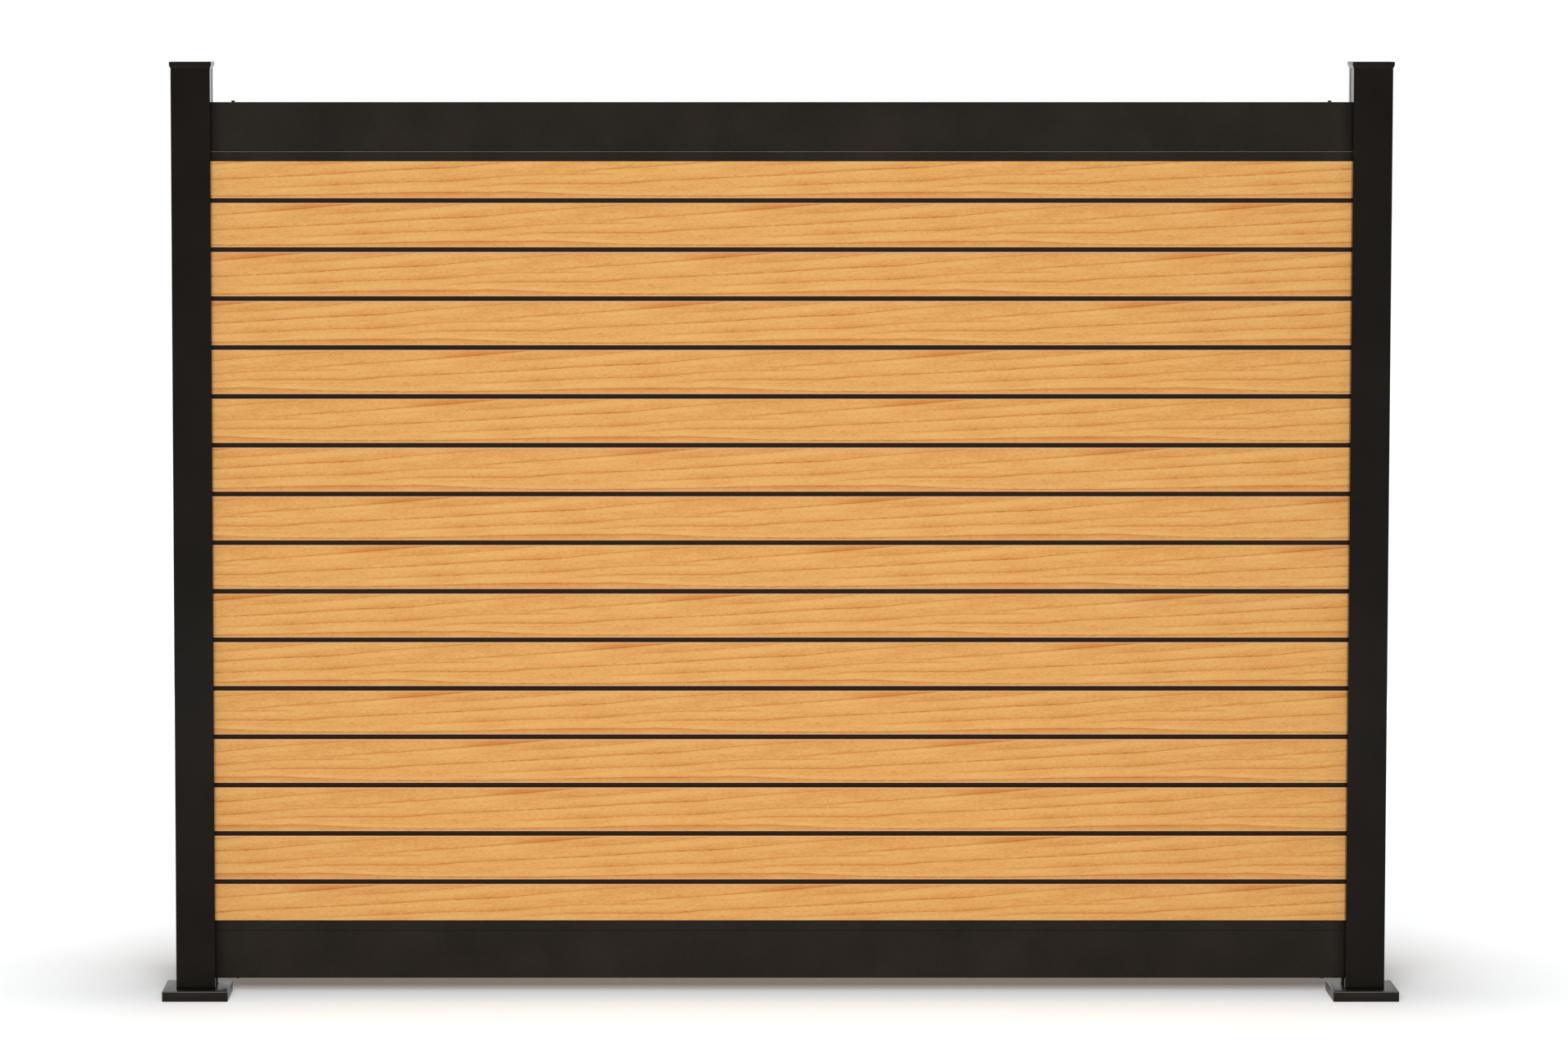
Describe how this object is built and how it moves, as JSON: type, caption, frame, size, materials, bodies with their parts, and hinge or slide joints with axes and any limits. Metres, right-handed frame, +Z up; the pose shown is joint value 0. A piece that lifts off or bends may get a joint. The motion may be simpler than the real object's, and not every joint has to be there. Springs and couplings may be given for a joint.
{
  "type": "garden privacy screen",
  "caption": "Slatted garden privacy screen: wood-look horizontal slats with dark joints, held between top and bottom rails in slotted square posts with caps and foot covers.",
  "frame": {"origin": "on the ground, midway between the two posts and midway through the depth", "axes": "+X along the screen from the left post to the right post as seen from the front, +Y from the front to the back, +Z up"},
  "size_m": [2.535, 0.135, 1.9223],
  "materials": {
    "wood_print_aluminium": "satin",
    "black_joiner_aluminium": "matte",
    "black_powder_coat": "matte",
    "black_cap_plastic": "matte",
    "galvanised_steel": "satin",
    "black_screw_steel": "satin"
  },
  "bodies": {
    "screen": {"left_post": "black_powder_coat", "right_post": "black_powder_coat", "left_cap": "black_cap_plastic", "right_cap": "black_cap_plastic", "left_foot": "galvanised_steel", "right_foot": "galvanised_steel", "top_rail": "black_powder_coat", "bottom_rail": "black_powder_coat", "top_slat_channel": "black_powder_coat", "bottom_slat_channel": "black_powder_coat", "slat_01": "wood_print_aluminium", "slat_02": "wood_print_aluminium", "slat_03": "wood_print_aluminium", "slat_04": "wood_print_aluminium", "slat_05": "wood_print_aluminium", "slat_06": "wood_print_aluminium", "slat_07": "wood_print_aluminium", "slat_08": "wood_print_aluminium", "slat_09": "wood_print_aluminium", "slat_10": "wood_print_aluminium", "slat_11": "wood_print_aluminium", "slat_12": "wood_print_aluminium", "slat_13": "wood_print_aluminium", "slat_14": "wood_print_aluminium", "slat_15": "wood_print_aluminium", "slat_16": "wood_print_aluminium", "joiner_01": "black_joiner_aluminium", "joiner_02": "black_joiner_aluminium", "joiner_03": "black_joiner_aluminium", "joiner_04": "black_joiner_aluminium", "joiner_05": "black_joiner_aluminium", "joiner_06": "black_joiner_aluminium", "joiner_07": "black_joiner_aluminium", "joiner_08": "black_joiner_aluminium", "joiner_09": "black_joiner_aluminium", "joiner_10": "black_joiner_aluminium", "joiner_11": "black_joiner_aluminium", "joiner_12": "black_joiner_aluminium", "joiner_13": "black_joiner_aluminium", "joiner_14": "black_joiner_aluminium", "joiner_15": "black_joiner_aluminium", "top_left_bracket": "galvanised_steel", "top_right_bracket": "galvanised_steel", "bottom_left_bracket": "galvanised_steel", "bottom_right_bracket": "galvanised_steel", "top_left_bracket_screw_01": "galvanised_steel", "top_left_bracket_screw_02": "galvanised_steel", "top_right_bracket_screw_01": "galvanised_steel", "top_right_bracket_screw_02": "galvanised_steel", "bottom_left_bracket_screw_01": "galvanised_steel", "bottom_left_bracket_screw_02": "galvanised_steel", "bottom_right_bracket_screw_01": "galvanised_steel", "bottom_right_bracket_screw_02": "galvanised_steel", "top_left_rail_screw": "black_screw_steel", "top_right_rail_screw": "black_screw_steel", "bottom_left_rail_screw": "black_screw_steel", "bottom_right_rail_screw": "black_screw_steel"},
    "left_cover": {"left_foot_cover": "black_powder_coat"},
    "right_cover": {"right_foot_cover": "black_powder_coat"}
  },
  "joints": [
    {"name": "left_cover_slide", "type": "slide", "parent": "screen", "child": "left_cover", "axis": [0, 0, 1], "range_m": [0, 0.018]},
    {"name": "right_cover_slide", "type": "slide", "parent": "screen", "child": "right_cover", "axis": [0, 0, 1], "range_m": [0, 0.018]}
  ]
}
